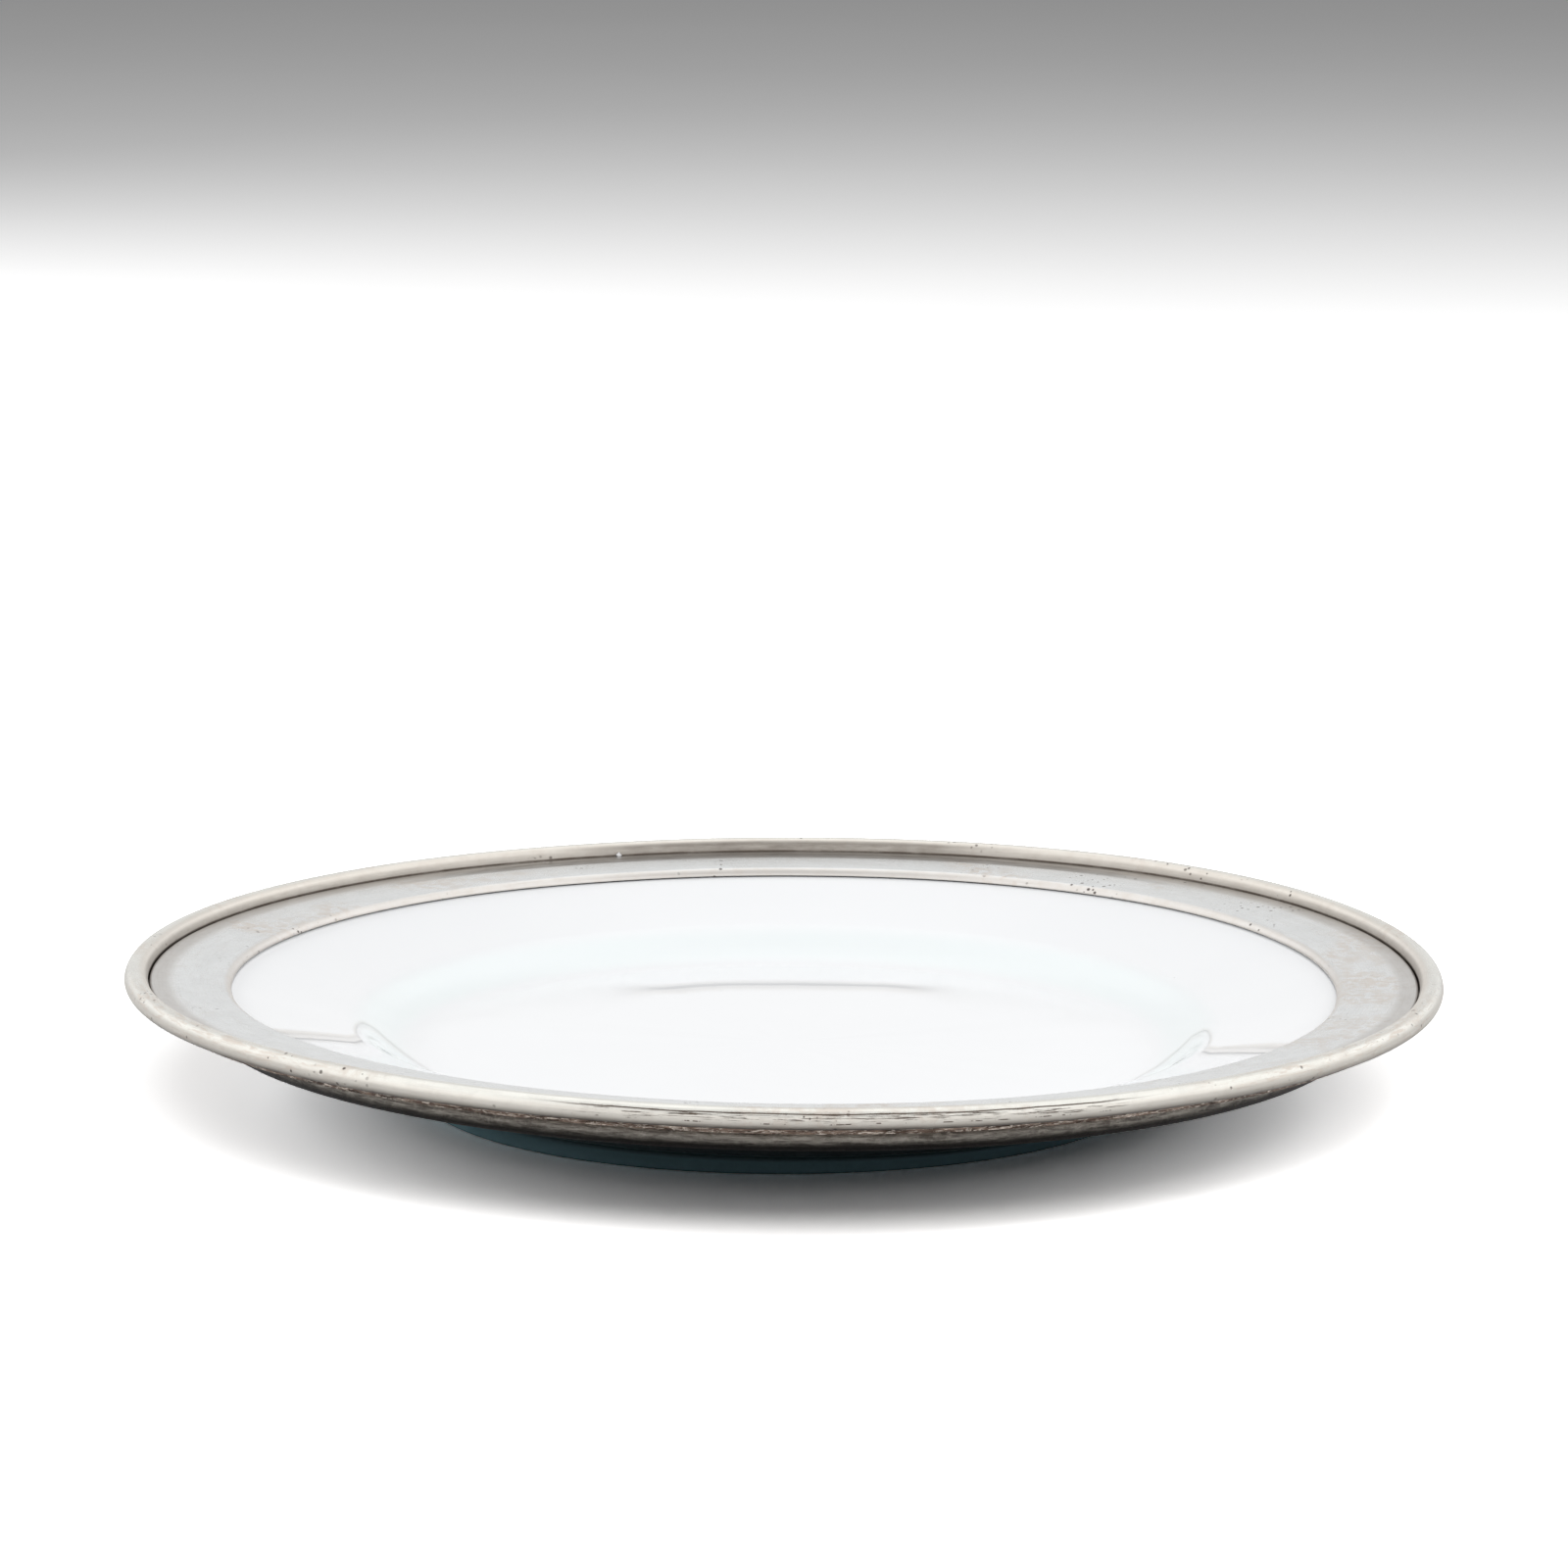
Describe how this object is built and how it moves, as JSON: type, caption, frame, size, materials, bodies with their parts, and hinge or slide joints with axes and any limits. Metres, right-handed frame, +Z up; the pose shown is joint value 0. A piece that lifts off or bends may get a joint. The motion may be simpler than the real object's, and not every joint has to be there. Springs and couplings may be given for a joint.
{
  "type": "pewter-rimmed plate",
  "caption": "Round plate: a white glazed stoneware dish on a foot ring, held in a flat pewter rim with a rounded outer bead and a smaller dark moulding below.",
  "frame": {"origin": "middle of the foot ring, on the surface that the plate stands on", "axes": "+Z up along the axis that every piece is turned about; +X and +Y are any two directions across the plate"},
  "size_m": [0.285, 0.285, 0.029],
  "materials": {
    "glaze": "gloss",
    "pewter": "satin",
    "aged_pewter": "satin",
    "bedding": "matte",
    "solder": "satin"
  },
  "bodies": {
    "root": {"ceramic_plate": "glaze", "rim_flange": "pewter", "rim_bead": "pewter", "under_collar": "aged_pewter", "rim_bedding": "bedding", "solder_seam": "solder"}
  },
  "joints": []
}
